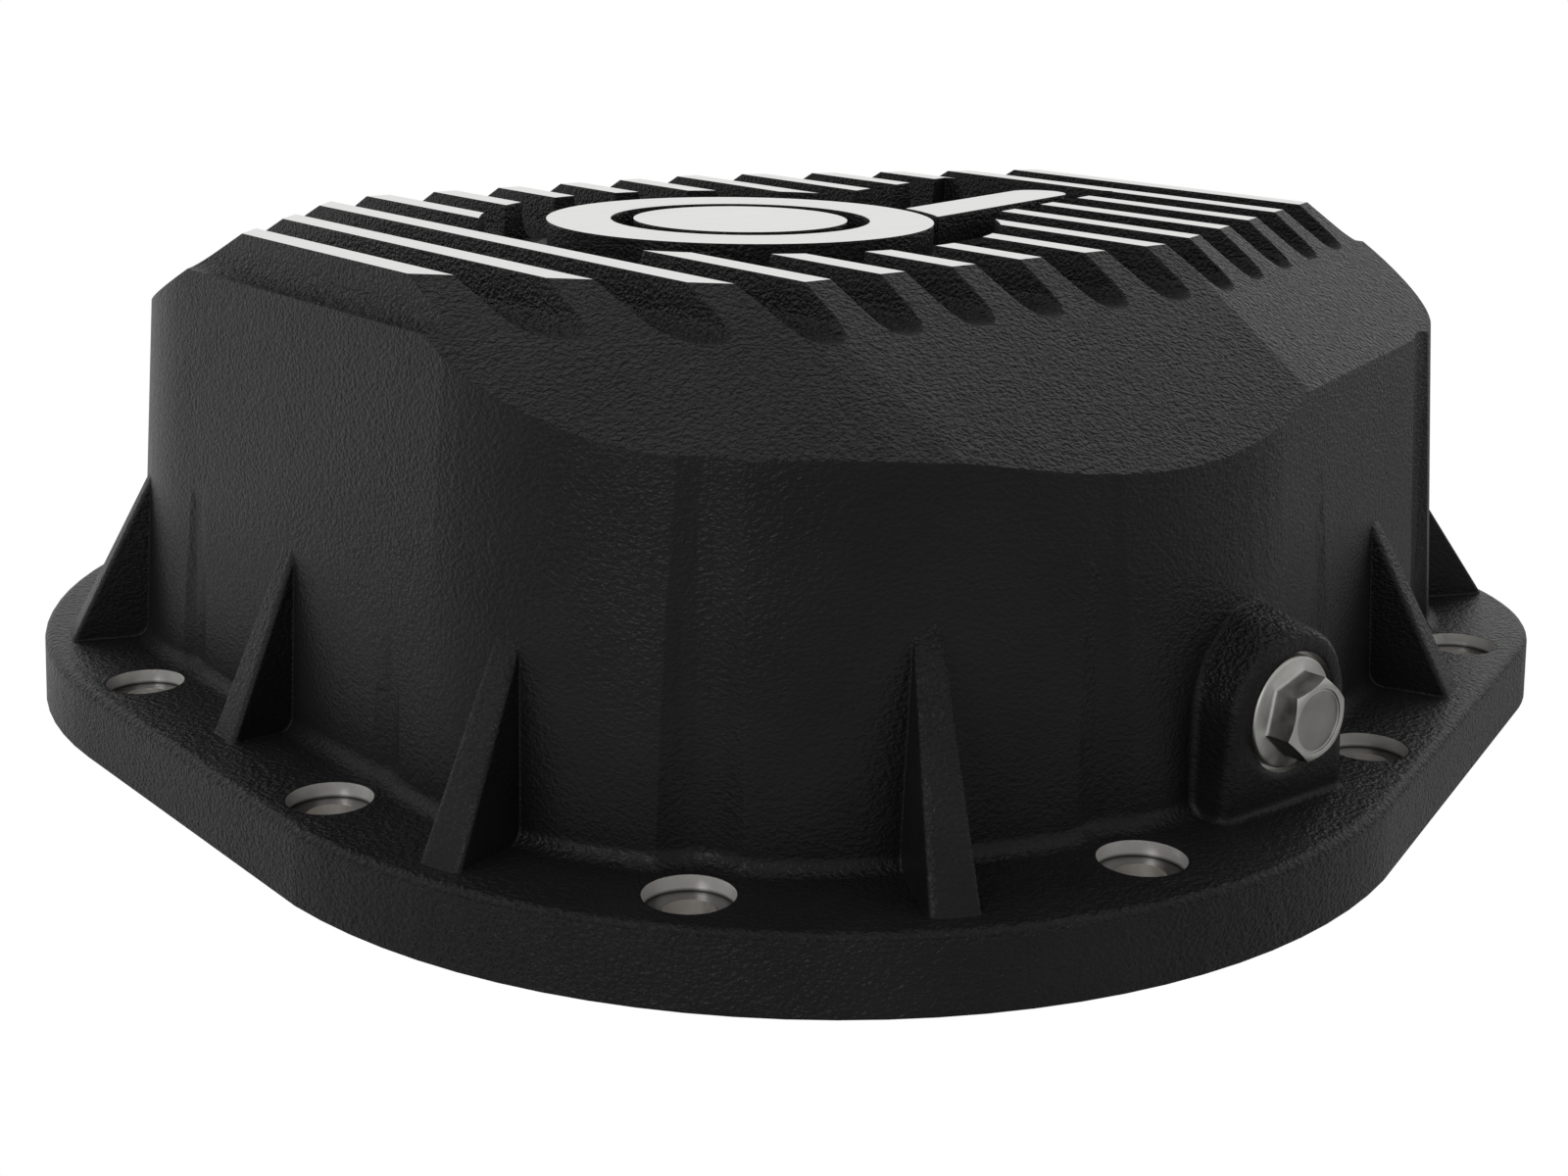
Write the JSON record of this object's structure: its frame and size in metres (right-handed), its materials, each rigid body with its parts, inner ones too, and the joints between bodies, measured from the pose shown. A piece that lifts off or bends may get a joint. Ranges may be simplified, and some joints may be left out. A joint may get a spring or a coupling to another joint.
{
  "type": "differential cover",
  "caption": "Deep finned cast differential cover with a bolted flange, side gussets, a plain raised roof medallion and a magnetic drain plug in a side boss.",
  "frame": {"origin": "on the mating face, at the centre of the flange's outline", "axes": "+Z out of the mating face towards the fins, +Y along the flange's longer side, +X towards the flange's narrow end"},
  "size_m": [0.3136, 0.3368, 0.1078],
  "materials": {
    "black_coating": "black textured powder coat with bare machined fin tops and bolt seats",
    "plug_steel": "bare steel",
    "seal_aluminium": "soft bare aluminium",
    "magnet_dark": "dark sintered"
  },
  "bodies": {
    "root": {"cover_casting": "black_coating", "drain_plug": "plug_steel", "drain_plug_seal": "seal_aluminium", "drain_plug_magnet": "magnet_dark"}
  },
  "joints": []
}
